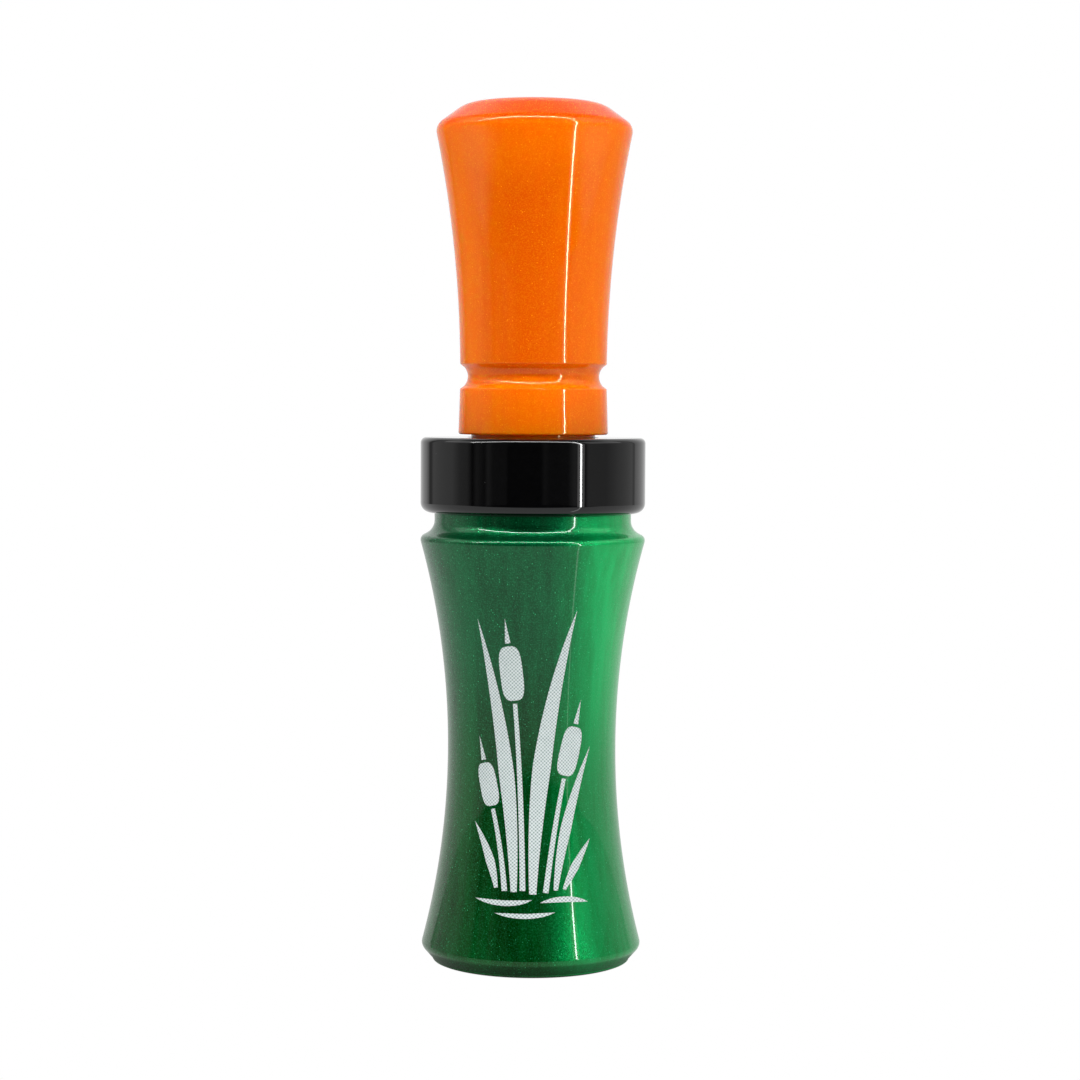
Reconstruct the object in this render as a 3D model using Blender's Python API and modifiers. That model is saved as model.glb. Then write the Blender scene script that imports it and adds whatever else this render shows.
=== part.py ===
"""Duck call: a double-reed waterfowl call turned from acrylic rod.

The call stands on its mouth end, which lies on z = 0 and is centred on the Z axis.
The barrel has an hourglass side, a stepped lip at its mouth end and a lanyard groove
under the black band.  The insert plugs into the top of the barrel on two O-rings.  It
carries the tone board, whose two reeds face -Y and are held by a cork wedge.
"""

import math

import bmesh
import bpy
from mathutils import Matrix

MM = 0.001

# Barrel: outer side
WAIST_RADIUS = 12.62 * MM
WAIST_Z = 32.45 * MM
SIDE_ARC_RADIUS = 115.6 * MM
RIM_Z = 63.93 * MM
RIM_ROUND = 0.9 * MM
SHOULDER_SLOPE = math.radians(28.0)
NECK_RADIUS = 14.74 * MM
COVE_ROUND = 2.2 * MM
FLARE_Z = 2.45 * MM
FLARE_ROUND = 1.2 * MM
LIP_RADIUS = 14.85 * MM
LIP_BEVEL_SLOPE = math.radians(48.0)
LIP_STEP_ROUND = 0.2 * MM
LIP_EDGE_Z = 0.3 * MM
LIP_EDGE_ROUND = 0.25 * MM
FOOT_RADIUS = 14.2 * MM
FOOT_ROUND = 2.0 * MM
SIDE_STEPS = 13

# Barrel: inside
BORE_RADIUS = 7.95 * MM
MOUTH_ROUND = 2.6 * MM
SOCKET_RADIUS = 9.75 * MM
SOCKET_FLOOR_Z = 57.5 * MM

# Band, and the spigot of the barrel that it is glued on
BAND_RADIUS = 16.85 * MM
BAND_BOTTOM_Z = 67.6 * MM
BAND_TOP_Z = 78.85 * MM
BAND_TOP_ROUND = 0.85 * MM
BAND_LOW_ROUND = 1.5 * MM
BAND_LIP_THICKNESS = 1.8 * MM
SPIGOT_RADIUS = 12.2 * MM
GLUE_GAP = 0.15 * MM
SHOULDER_GAP = 0.05 * MM

# Insert: outer side
TOP_Z = 128.54 * MM
TOP_RIM_RADIUS = 10.22 * MM
TOP_RIM_ROUND = 4.9 * MM
BEVEL_Z = 125.15 * MM
BEVEL_ROUND = 1.85 * MM
INSERT_WAIST_RADIUS = 11.0 * MM
INSERT_WAIST_Z = 88.33 * MM
INSERT_ARC_RADIUS = 178.28 * MM
FLARE_STEPS = 9
GROOVE_Z = 87.94 * MM
GROOVE_ARC_RADIUS = 2.04 * MM
GROOVE_CENTRE_RADIUS = 11.89 * MM
GROOVE_EDGE_ROUND = 0.3 * MM
GROOVE_STEPS = 8
COLLAR_Z = 79.3 * MM
COLLAR_ROUND = 0.3 * MM

# Insert: tenon and bores
TENON_RADIUS = 9.3 * MM
TENON_END_Z = 58.3 * MM
TENON_ROUND = 0.5 * MM
SEAL_ZS = {"o_ring_front": 62.4 * MM, "o_ring_rear": 73.6 * MM}
SEAL_SLOT_WIDTH = 2.3 * MM
SEAL_SLOT_RADIUS = 7.6 * MM
SEAL_RING_RADIUS = 8.58 * MM
SEAL_CORD_RADIUS = 0.86 * MM
SHANK_BORE_RADIUS = 6.55 * MM
SHANK_FLOOR_Z = 72.3 * MM
THROAT_RADIUS = 5.2 * MM
EXHAUST_RADIUS = 6.6 * MM
EXHAUST_ROUND = 0.8 * MM

# Tone board
BOARD_RADIUS = 7.6 * MM
BOARD_TIP_Z = 9.0 * MM
BOARD_TIP_DEPTH = 6.0 * MM
BLOCK_Z = 47.0 * MM
BLOCK_TOP_Z = 57.9 * MM
SHANK_RADIUS = 6.35 * MM
SHANK_END_Z = 71.8 * MM
SHANK_ROOT_DEPTH = 0.4 * MM
FACE_Y = 0.4 * MM
RAMP_SLOPE = math.radians(1.1)
RAMP_EXTRA_FALL = 0.25 * MM
RAMP_STEPS = 6
CHANNEL_RADIUS = 2.6 * MM
CHANNEL_Y = 1.6 * MM
CHANNEL_TIP_Z = 14.0 * MM
CHANNEL_END_Z = 60.0 * MM
SHANK_HOLE_RADIUS = 4.4 * MM
SHANK_HOLE_Z = 58.2 * MM
SLOT_HALF_WIDTH = 6.2 * MM
SLOT_HEIGHT = 3.8 * MM
SLOT_END_Z = 56.5 * MM

# Reeds and wedge
REED_HALF_WIDTH = 6.0 * MM
REED_END_Z = 56.2 * MM
REED_PIVOT_Z = 51.6 * MM
REED_GAP = 0.15 * MM
REEDS = {
    "reed_lower": {"thickness": 0.36 * MM, "tip_z": 9.6 * MM},
    "reed_upper": {"thickness": 0.25 * MM, "tip_z": 11.4 * MM},
}
REED_TIP_DEPTH = 5.0 * MM
TIP_STEPS = 12
WEDGE_HALF_WIDTH = 5.9 * MM
WEDGE_THICKNESS = 2.7 * MM
WEDGE_TAPER = 0.4 * MM
WEDGE_START_Z = 46.2 * MM
WEDGE_END_Z = 56.2 * MM
WEDGE_EDGE = 0.3 * MM

# How finely round shapes are divided
TURN_SEGMENTS = 40
ROUND_STEP = math.radians(24.0)
TORUS_SECTION_SEGMENTS = 10
CUT_MARGIN = 3.0 * MM
WELD_DISTANCE = 0.001 * MM
SHARP_ANGLE = math.radians(35.0)

GREEN = (0.006, 0.115, 0.045)
ORANGE = (0.83, 0.17, 0.004)
BLACK = (0.006, 0.006, 0.007)
CLEAR_AMBER = (0.52, 0.47, 0.38)
REED_CLEAR = (0.62, 0.66, 0.68)
CORK = (0.46, 0.27, 0.12)
RUBBER = (0.018, 0.018, 0.018)


def clear_scene():
    """Remove every object that the file opened with."""
    for thing in list(bpy.data.objects):
        bpy.data.objects.remove(thing, do_unlink=True)


def make_collection(name):
    collection = bpy.data.collections.new(name)
    bpy.context.scene.collection.children.link(collection)
    return collection


def make_material(name, colour, roughness, metallic=0.0):
    material = bpy.data.materials.new(name)
    material.use_nodes = True
    shader = material.node_tree.nodes["Principled BSDF"]
    shader.inputs["Base Color"].default_value = (*colour, 1.0)
    shader.inputs["Roughness"].default_value = roughness
    shader.inputs["Metallic"].default_value = metallic
    return material


def arc_radius_at(z, waist_radius, waist_z, arc_radius):
    """Radius of a hollow turned side, an arc about a centre outside the call."""
    centre = waist_radius + arc_radius
    return centre - math.sqrt(arc_radius ** 2 - (z - waist_z) ** 2)


def barrel_side(z):
    return arc_radius_at(z, WAIST_RADIUS, WAIST_Z, SIDE_ARC_RADIUS)


def insert_side(z):
    return arc_radius_at(z, INSERT_WAIST_RADIUS, INSERT_WAIST_Z, INSERT_ARC_RADIUS)


def between(start, end, steps):
    """The steps - 1 evenly spaced values strictly between start and end."""
    return [start + (end - start) * i / steps for i in range(1, steps)]


def round_corner(before, corner, after, radius):
    """Points of the arc that rounds one corner of an outline."""
    bx, bz = before[0] - corner[0], before[1] - corner[1]
    ax, az = after[0] - corner[0], after[1] - corner[1]
    b_length = math.hypot(bx, bz)
    a_length = math.hypot(ax, az)
    bx, bz, ax, az = bx / b_length, bz / b_length, ax / a_length, az / a_length
    opening = math.acos(max(-1.0, min(1.0, bx * ax + bz * az)))
    turn = math.pi - opening
    reach = radius * math.tan(turn / 2.0)
    to_centre = radius / math.sin(opening / 2.0)
    mx, mz = bx + ax, bz + az
    m_length = math.hypot(mx, mz)
    centre = (corner[0] + mx / m_length * to_centre, corner[1] + mz / m_length * to_centre)
    start = (corner[0] + bx * reach, corner[1] + bz * reach)
    side = 1.0 if bx * az - bz * ax < 0.0 else -1.0
    first = math.atan2(start[1] - centre[1], start[0] - centre[0])
    steps = max(2, math.ceil(turn / ROUND_STEP))
    angles = [first + side * turn * i / steps for i in range(steps + 1)]
    return [(centre[0] + radius * math.cos(a), centre[1] + radius * math.sin(a)) for a in angles]


def rounded_outline(corners):
    """Closed outline through (x, z, round) corners, with each round cut in."""
    outline = []
    for i, (x, z, radius) in enumerate(corners):
        if radius == 0.0:
            outline.append((x, z))
        else:
            after = corners[(i + 1) % len(corners)]
            outline.extend(round_corner(corners[i - 1], (x, z), after, radius))
    return outline


def turned_piece(name, corners, collection, material):
    """Turn a closed outline about the Z axis."""
    outline = rounded_outline(corners)
    mesh = bpy.data.meshes.new(name)
    edges = [(i, (i + 1) % len(outline)) for i in range(len(outline))]
    mesh.from_pydata([(x, 0.0, z) for x, z in outline], edges, [])
    piece = bpy.data.objects.new(name, mesh)
    collection.objects.link(piece)
    mesh.materials.append(material)
    screw = piece.modifiers.new("turn", "SCREW")
    screw.axis = "Z"
    screw.angle = 2.0 * math.pi
    screw.steps = TURN_SEGMENTS
    screw.render_steps = TURN_SEGMENTS
    screw.use_merge_vertices = True
    screw.merge_threshold = WELD_DISTANCE
    screw.use_smooth_shade = True
    return piece


def adopt(thing, name, collection, material=None):
    """Name an object, move it into a collection and give it its material."""
    thing.name = name
    thing.data.name = name
    for old in list(thing.users_collection):
        old.objects.unlink(thing)
    collection.objects.link(thing)
    if material is not None:
        thing.data.materials.append(material)
    return thing


def make_rod(name, radius, z_start, z_end, collection, y=0.0):
    """A cylinder along Z."""
    bpy.ops.mesh.primitive_cylinder_add(
        vertices=TURN_SEGMENTS,
        radius=radius,
        depth=z_end - z_start,
        location=(0.0, y, (z_start + z_end) / 2.0),
    )
    return adopt(bpy.context.object, name, collection)


def make_box(name, low, high, collection):
    """A box between two corners, with its scale applied."""
    mesh = bpy.data.meshes.new(name)
    shape = bmesh.new()
    bmesh.ops.create_cube(shape, size=1.0)
    size = [h - l for l, h in zip(low, high)]
    centre = [(l + h) / 2.0 for l, h in zip(low, high)]
    bmesh.ops.scale(shape, vec=size, verts=shape.verts)
    bmesh.ops.translate(shape, vec=centre, verts=shape.verts)
    shape.to_mesh(mesh)
    shape.free()
    box = bpy.data.objects.new(name, mesh)
    collection.objects.link(box)
    return box


def make_plate(name, outline, thickness, turn, collection):
    """A flat outline given a thickness; turn stands its XY plane up."""
    curve = bpy.data.curves.new(name, "CURVE")
    curve.dimensions = "2D"
    curve.fill_mode = "BOTH"
    curve.extrude = thickness / 2.0
    spline = curve.splines.new("POLY")
    spline.points.add(len(outline) - 1)
    for point, (x, y) in zip(spline.points, outline):
        point.co = (x, y, 0.0, 1.0)
    spline.use_cyclic_u = True
    guide = bpy.data.objects.new(name + "_outline", curve)
    collection.objects.link(guide)
    evaluated = guide.evaluated_get(bpy.context.evaluated_depsgraph_get())
    mesh = bpy.data.meshes.new_from_object(evaluated)
    bpy.data.objects.remove(guide)
    mesh.transform(turn)
    shape = bmesh.new()
    shape.from_mesh(mesh)
    bmesh.ops.remove_doubles(shape, verts=shape.verts, dist=WELD_DISTANCE)
    bmesh.ops.recalc_face_normals(shape, faces=shape.faces)
    shape.to_mesh(mesh)
    shape.free()
    plate = bpy.data.objects.new(name, mesh)
    collection.objects.link(plate)
    return plate


def combine(piece, other, operation):
    """Boolean another object into a piece, and keep the other only as a guide."""
    step = piece.modifiers.new(other.name, "BOOLEAN")
    step.operation = operation
    step.solver = "EXACT"
    step.object = other
    other.hide_render = True
    other.display_type = "WIRE"


def shade_round(piece):
    piece.data.shade_smooth()
    piece.data.set_sharp_from_angle(angle=SHARP_ANGLE)


def tip_outline(half_width, tip_z, tip_depth, end_z):
    """Long strip in (x, z) with a square end and an elliptical tip."""
    points = [(-half_width, end_z), (half_width, end_z)]
    for i in range(TIP_STEPS + 1):
        angle = math.pi * i / TIP_STEPS
        x = half_width * math.cos(angle)
        points.append((x, tip_z + tip_depth * (1.0 - math.sin(angle))))
    return points


def make_barrel(collection, material):
    """Mouth end, hourglass side, lanyard groove, and the spigot for the band."""
    rim_radius = barrel_side(RIM_Z)
    cove_z = RIM_Z + (rim_radius - NECK_RADIUS) * math.tan(SHOULDER_SLOPE)
    flare_radius = barrel_side(FLARE_Z)
    lip_z = FLARE_Z - (flare_radius - LIP_RADIUS) * math.tan(LIP_BEVEL_SLOPE)
    spigot_top = BAND_TOP_Z - BAND_LIP_THICKNESS - GLUE_GAP
    shoulder_z = BAND_BOTTOM_Z - SHOULDER_GAP
    corners = [
        (SOCKET_RADIUS, spigot_top, 0.0),
        (SPIGOT_RADIUS, spigot_top, 0.0),
        (SPIGOT_RADIUS, shoulder_z, 0.0),
        (NECK_RADIUS, shoulder_z, 0.0),
        (NECK_RADIUS, cove_z, COVE_ROUND),
        (rim_radius, RIM_Z, RIM_ROUND),
    ]
    corners += [(barrel_side(z), z, 0.0) for z in between(RIM_Z, FLARE_Z, SIDE_STEPS)]
    corners += [
        (flare_radius, FLARE_Z, FLARE_ROUND),
        (LIP_RADIUS, lip_z, LIP_STEP_ROUND),
        (LIP_RADIUS, LIP_EDGE_Z, LIP_EDGE_ROUND),
        (FOOT_RADIUS, 0.0, FOOT_ROUND),
        (BORE_RADIUS, 0.0, MOUTH_ROUND),
        (BORE_RADIUS, SOCKET_FLOOR_Z, 0.0),
        (SOCKET_RADIUS, SOCKET_FLOOR_Z, 0.0),
    ]
    return turned_piece("barrel", corners, collection, material)


def make_band(collection, material):
    """Cap-shaped ring that covers the end of the barrel."""
    inner_radius = SPIGOT_RADIUS + GLUE_GAP
    lip_z = BAND_TOP_Z - BAND_LIP_THICKNESS
    corners = [
        (SOCKET_RADIUS, BAND_TOP_Z, 0.0),
        (BAND_RADIUS, BAND_TOP_Z, BAND_TOP_ROUND),
        (BAND_RADIUS, BAND_BOTTOM_Z, BAND_LOW_ROUND),
        (inner_radius, BAND_BOTTOM_Z, 0.0),
        (inner_radius, lip_z, 0.0),
        (SOCKET_RADIUS, lip_z, 0.0),
    ]
    return turned_piece("band", corners, collection, material)


def lanyard_groove_corners():
    """The round-bottomed groove between the insert's flare and its collar."""
    opening = math.acos((GROOVE_CENTRE_RADIUS - INSERT_WAIST_RADIUS) / GROOVE_ARC_RADIUS)
    corners = []
    for i in range(GROOVE_STEPS + 1):
        angle = opening - 2.0 * opening * i / GROOVE_STEPS
        x = GROOVE_CENTRE_RADIUS - GROOVE_ARC_RADIUS * math.cos(angle)
        z = GROOVE_Z + GROOVE_ARC_RADIUS * math.sin(angle)
        edge = GROOVE_EDGE_ROUND if i in (0, GROOVE_STEPS) else 0.0
        corners.append((x, z, edge))
    return corners


def seal_slot_corners(z):
    """One square O-ring slot in the tenon."""
    top = z + SEAL_SLOT_WIDTH / 2.0
    bottom = z - SEAL_SLOT_WIDTH / 2.0
    return [
        (TENON_RADIUS, top, 0.0),
        (SEAL_SLOT_RADIUS, top, 0.0),
        (SEAL_SLOT_RADIUS, bottom, 0.0),
        (TENON_RADIUS, bottom, 0.0),
    ]


def make_insert(collection, material):
    """Exhaust end: bevelled top, long flare, lanyard groove, collar and tenon."""
    groove = lanyard_groove_corners()
    corners = [
        (EXHAUST_RADIUS, TOP_Z, EXHAUST_ROUND),
        (TOP_RIM_RADIUS, TOP_Z, TOP_RIM_ROUND),
        (insert_side(BEVEL_Z), BEVEL_Z, BEVEL_ROUND),
    ]
    corners += [(insert_side(z), z, 0.0) for z in between(BEVEL_Z, groove[0][1], FLARE_STEPS)]
    corners += groove
    corners += [
        (insert_side(COLLAR_Z), COLLAR_Z, COLLAR_ROUND),
        (TENON_RADIUS, COLLAR_Z, 0.0),
    ]
    for z in sorted(SEAL_ZS.values(), reverse=True):
        corners += seal_slot_corners(z)
    corners += [
        (TENON_RADIUS, TENON_END_Z, TENON_ROUND),
        (SHANK_BORE_RADIUS, TENON_END_Z, 0.0),
        (SHANK_BORE_RADIUS, SHANK_FLOOR_Z, 0.0),
        (THROAT_RADIUS, SHANK_FLOOR_Z, 0.0),
    ]
    return turned_piece("insert", corners, collection, material)


def make_seal(name, z, collection, material):
    bpy.ops.mesh.primitive_torus_add(
        location=(0.0, 0.0, z),
        major_segments=TURN_SEGMENTS,
        minor_segments=TORUS_SECTION_SEGMENTS,
        major_radius=SEAL_RING_RADIUS,
        minor_radius=SEAL_CORD_RADIUS,
    )
    seal = adopt(bpy.context.object, name, collection, material)
    seal.data.shade_smooth()
    return seal


def board_face_y(z):
    """Height of the tone board's face, which falls away from the reeds to its tip."""
    reach = max(0.0, BLOCK_Z - z)
    share = reach / (BLOCK_Z - BOARD_TIP_Z)
    return FACE_Y + reach * math.tan(RAMP_SLOPE) + RAMP_EXTRA_FALL * share ** 3


def make_ramp_cutter(cutters):
    """All that is in front of the tone board's face, below its round block."""
    heights = [BLOCK_Z, *between(BLOCK_Z, BOARD_TIP_Z, RAMP_STEPS), BOARD_TIP_Z, BOARD_TIP_Z - CUT_MARGIN]
    outline = [(-BOARD_RADIUS - CUT_MARGIN, heights[-1]), (-BOARD_RADIUS - CUT_MARGIN, heights[0])]
    outline += [(board_face_y(z), z) for z in heights]
    thickness = 2.0 * (BOARD_RADIUS + CUT_MARGIN)
    stand = Matrix(((0.0, 0.0, 1.0, 0.0), (1.0, 0.0, 0.0, 0.0), (0.0, 1.0, 0.0, 0.0), (0.0, 0.0, 0.0, 1.0)))
    return make_plate("ramp_cutter", outline, thickness, stand, cutters)


def make_tone_board(collection, cutters, material):
    """Half-round board with its sound channel, wedge block and hollow shank."""
    board = make_rod("tone_board", BOARD_RADIUS, BOARD_TIP_Z, BLOCK_TOP_Z, collection)
    board.data.materials.append(material)
    outline = tip_outline(BOARD_RADIUS + CUT_MARGIN, BOARD_TIP_Z - WELD_DISTANCE, BOARD_TIP_DEPTH,
                          BLOCK_TOP_Z + CUT_MARGIN)
    stand = Matrix.Rotation(math.pi / 2.0, 4, "X")
    tip_form = make_plate("tip_form", outline, 2.0 * (BOARD_RADIUS + CUT_MARGIN), stand, cutters)
    combine(board, tip_form, "INTERSECT")
    combine(board, make_ramp_cutter(cutters), "DIFFERENCE")
    shank = make_rod("shank_form", SHANK_RADIUS, BLOCK_TOP_Z - SHANK_ROOT_DEPTH, SHANK_END_Z, cutters)
    combine(board, shank, "UNION")
    slot = make_box("slot_cutter", (-SLOT_HALF_WIDTH, FACE_Y - SLOT_HEIGHT, BLOCK_Z - CUT_MARGIN),
                    (SLOT_HALF_WIDTH, FACE_Y, SLOT_END_Z), cutters)
    combine(board, slot, "DIFFERENCE")
    channel = make_rod("channel_cutter", CHANNEL_RADIUS, CHANNEL_TIP_Z, CHANNEL_END_Z, cutters, CHANNEL_Y)
    combine(board, channel, "DIFFERENCE")
    hole = make_rod("shank_hole_cutter", SHANK_HOLE_RADIUS, SHANK_HOLE_Z, SHANK_END_Z + CUT_MARGIN, cutters)
    combine(board, hole, "DIFFERENCE")
    shade_round(board)
    return board


def make_reeds(collection, material):
    """The two reeds, stacked in front of the board's face, each on its own pivot."""
    reeds = []
    back_y = FACE_Y - REED_GAP
    for name, size in REEDS.items():
        outline = tip_outline(REED_HALF_WIDTH, size["tip_z"], REED_TIP_DEPTH, REED_END_Z)
        outline = [(x, z - REED_PIVOT_Z) for x, z in outline]
        stand = Matrix.Rotation(math.pi / 2.0, 4, "X")
        reed = make_plate(name, outline, size["thickness"], stand, collection)
        reed.data.materials.append(material)
        reed.location = (0.0, back_y - size["thickness"] / 2.0, REED_PIVOT_Z)
        back_y -= size["thickness"] + REED_GAP
        reeds.append(reed)
    return reeds


def make_wedge(collection, material):
    """Cork block over the reeds, thinner at the end that goes in first."""
    reed_stack = sum(size["thickness"] + REED_GAP for size in REEDS.values())
    back_y = FACE_Y - REED_GAP - reed_stack
    low = (-WEDGE_HALF_WIDTH, back_y - WEDGE_THICKNESS, WEDGE_START_Z)
    high = (WEDGE_HALF_WIDTH, back_y, WEDGE_END_Z)
    wedge = make_box("wedge", low, high, collection)
    wedge.data.materials.append(material)
    for vertex in wedge.data.vertices:
        if vertex.co.y < back_y - WEDGE_THICKNESS / 2.0 and vertex.co.z > REED_PIVOT_Z:
            vertex.co.y += WEDGE_TAPER
    bevel = wedge.modifiers.new("soft edges", "BEVEL")
    bevel.width = WEDGE_EDGE
    bevel.segments = 2
    return wedge


def make_pull_axis(collection):
    """Empty on the call's axis that carries all that pulls out of the barrel."""
    empty = bpy.data.objects.new("pull_axis", None)
    empty.empty_display_size = BAND_RADIUS
    collection.objects.link(empty)
    return empty


def build():
    clear_scene()
    parts = make_collection("duck_call")
    cutters = make_collection("duck_call_cutters")
    green = make_material("green_acrylic", GREEN, 0.08)
    orange = make_material("orange_acrylic", ORANGE, 0.08)
    black = make_material("black_acrylic", BLACK, 0.06)
    clear = make_material("moulded_board", CLEAR_AMBER, 0.25)
    film = make_material("reed_film", REED_CLEAR, 0.3)
    cork = make_material("cork", CORK, 0.9)
    rubber = make_material("rubber", RUBBER, 0.6)

    make_barrel(parts, green)
    make_band(parts, black)
    pull_axis = make_pull_axis(parts)
    insert = make_insert(parts, orange)
    insert.parent = pull_axis
    for name, z in SEAL_ZS.items():
        make_seal(name, z, parts, rubber).parent = pull_axis
    make_tone_board(parts, cutters, clear).parent = insert
    make_wedge(parts, cork).parent = insert
    for reed in make_reeds(parts, film):
        reed.parent = insert


build()
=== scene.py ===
"""Looks of the duck call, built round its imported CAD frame."""
import math

import bmesh
import bpy
from mathutils import Euler, Matrix, Vector, noise as solid_noise


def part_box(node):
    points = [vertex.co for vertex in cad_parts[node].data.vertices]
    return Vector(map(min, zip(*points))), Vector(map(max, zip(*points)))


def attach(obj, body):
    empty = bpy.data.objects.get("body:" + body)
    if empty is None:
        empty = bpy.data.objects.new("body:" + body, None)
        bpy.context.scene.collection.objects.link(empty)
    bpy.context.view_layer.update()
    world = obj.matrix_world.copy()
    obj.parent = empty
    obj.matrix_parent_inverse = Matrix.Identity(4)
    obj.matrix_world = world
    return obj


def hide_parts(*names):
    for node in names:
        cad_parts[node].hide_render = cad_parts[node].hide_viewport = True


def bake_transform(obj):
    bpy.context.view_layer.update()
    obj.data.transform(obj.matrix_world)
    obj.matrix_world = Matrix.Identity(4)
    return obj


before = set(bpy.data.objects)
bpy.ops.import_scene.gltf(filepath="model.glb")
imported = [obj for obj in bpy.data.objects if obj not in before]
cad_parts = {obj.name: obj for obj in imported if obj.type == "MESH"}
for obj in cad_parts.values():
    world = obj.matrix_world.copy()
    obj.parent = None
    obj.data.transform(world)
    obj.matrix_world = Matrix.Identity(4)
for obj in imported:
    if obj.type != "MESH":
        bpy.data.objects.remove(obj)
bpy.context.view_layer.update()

MM = 0.001

# Heights and outer sizes that the frame gives
BARREL_LOW, BARREL_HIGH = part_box("barrel")
BAND_LOW, BAND_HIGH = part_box("band")
INSERT_LOW, INSERT_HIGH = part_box("insert")
BOARD_LOW, BOARD_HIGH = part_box("tone_board")

# Barrel, as designed
WAIST_RADIUS = 12.62 * MM
WAIST_Z = 32.45 * MM
SIDE_ARC_RADIUS = 115.6 * MM
RIM_Z = 63.93 * MM
RIM_ROUND = 0.9 * MM
SHOULDER_SLOPE = math.radians(28.0)
NECK_RADIUS = 14.74 * MM
COVE_ROUND = 2.2 * MM
FLARE_Z = 2.45 * MM
FLARE_ROUND = 1.2 * MM
LIP_RADIUS = 14.85 * MM
LIP_BEVEL_SLOPE = math.radians(48.0)
LIP_STEP_ROUND = 0.2 * MM
LIP_EDGE_Z = 0.3 * MM
LIP_EDGE_ROUND = 0.25 * MM
FOOT_RADIUS = 14.2 * MM
FOOT_ROUND = 2.0 * MM
BORE_RADIUS = 7.95 * MM
MOUTH_ROUND = 2.6 * MM
SOCKET_RADIUS = 9.75 * MM
SOCKET_FLOOR_Z = 57.5 * MM
SPIGOT_RADIUS = 12.2 * MM
GLUE_GAP = 0.15 * MM
SHOULDER_GAP = 0.05 * MM

# Band, as designed
BAND_RADIUS = BAND_HIGH.x
BAND_TOP_ROUND = 0.85 * MM
BAND_LOW_ROUND = 1.5 * MM
BAND_LIP_THICKNESS = 1.8 * MM

# Insert, as designed
TOP_RIM_RADIUS = 10.22 * MM
TOP_RIM_ROUND = 4.9 * MM
BEVEL_Z = 125.15 * MM
BEVEL_ROUND = 1.85 * MM
BEVEL_CLEARANCE = 2.0 * MM
INSERT_WAIST_RADIUS = 11.0 * MM
INSERT_WAIST_Z = 88.33 * MM
INSERT_ARC_RADIUS = 178.28 * MM
GROOVE_Z = 87.94 * MM
GROOVE_ARC_RADIUS = 2.04 * MM
GROOVE_CENTRE_RADIUS = 11.89 * MM
GROOVE_EDGE_ROUND = 0.3 * MM
GROOVE_ROUND_POINTS = 4
COLLAR_Z = 79.3 * MM
COLLAR_ROUND = 0.3 * MM
TENON_RADIUS = 9.3 * MM
TENON_ROUND = 0.5 * MM
SEAL_SLOT_WIDTH = 2.3 * MM
SEAL_SLOT_RADIUS = 7.6 * MM
SEAL_RING_RADIUS = 8.58 * MM
SEAL_CORD_RADIUS = 0.86 * MM
SEAL_CORD_POINTS = 48
SEAL_FLASH = 0.02 * MM
SHANK_BORE_RADIUS = 6.55 * MM
SHANK_FLOOR_Z = 72.3 * MM
THROAT_RADIUS = 5.2 * MM
EXHAUST_RADIUS = 6.6 * MM
EXHAUST_ROUND = 0.8 * MM

# Tone board, as designed
BOARD_RADIUS = 7.6 * MM
BOARD_TIP_DEPTH = 6.0 * MM
BLOCK_Z = 47.0 * MM
BLOCK_TOP_Z = 57.9 * MM
SHANK_RADIUS = 6.35 * MM
SHANK_ROOT_DEPTH = 0.4 * MM
FACE_Y = 0.4 * MM
RAMP_SLOPE = math.radians(1.1)
RAMP_EXTRA_FALL = 0.25 * MM
CHANNEL_RADIUS = 2.6 * MM
CHANNEL_Y = 1.6 * MM
CHANNEL_TIP_Z = 14.0 * MM
CHANNEL_END_Z = 60.0 * MM
SHANK_HOLE_RADIUS = 4.4 * MM
SHANK_HOLE_Z = 58.2 * MM
SLOT_HALF_WIDTH = 6.2 * MM
SLOT_HEIGHT = 3.8 * MM
SLOT_END_Z = 56.5 * MM
CUT_MARGIN = 3.0 * MM
BOARD_EDGE = 0.12 * MM
CIRCLE_POINTS = 96
TIP_STEPS = 48
RAMP_STEPS = 24

# Reeds and wedge, as designed
REED_TIP_DEPTH = 5.0 * MM
REED_ROWS = 60
REED_ROW_CROWDING = 1.6
REED_CELLS = 12
REED_TIP_HALF = 0.02 * MM
WEDGE_TAPER = 0.4 * MM
WEDGE_EDGE = 0.35 * MM
WEDGE_CUTS = 23
CORK_PIT_SCALE = 900.0
CORK_PIT_DEPTH = 0.08 * MM

# Engraving: thin shapes laid on the front of the barrel
ENGRAVING_HEIGHT = 0.012 * MM
ENGRAVING_DEPTH = 0.06 * MM
STROKE_STEPS = 36
STROKE_CELLS = 8
STROKE_TIP = 0.02
RASTER_PITCH = 0.52 * MM
STEM_HALF_WIDTH = 0.42
HEAD_GAP = 0.45
SPIKE_LENGTH = 3.6
SPIKE_HALF_WIDTH = 0.42

# Small rounds on edges that are mostly hidden
HIDDEN_ROUND = 0.2 * MM
FINE_ROUND = 0.1 * MM
SHOULDER_ROUND = 0.05 * MM
SLOT_ROUND = 0.12 * MM

# Fineness
SEGMENTS = 224
ROUND_STEP = math.radians(5.0)
SIDE_STEPS = 44
GROOVE_STEPS = 24
SHARP_ANGLE = math.radians(30.0)

# Camera
CAMERA_DISTANCE = 405.0 * MM
CAMERA_HEIGHT = 84.45 * MM
CAMERA_ASIDE = 1.10 * MM
CAMERA_PITCH = math.radians(2.968)
CAMERA_ROLL = math.radians(0.29)
CAMERA_LENS = 90.0
SENSOR_WIDTH = 36.0

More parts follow.
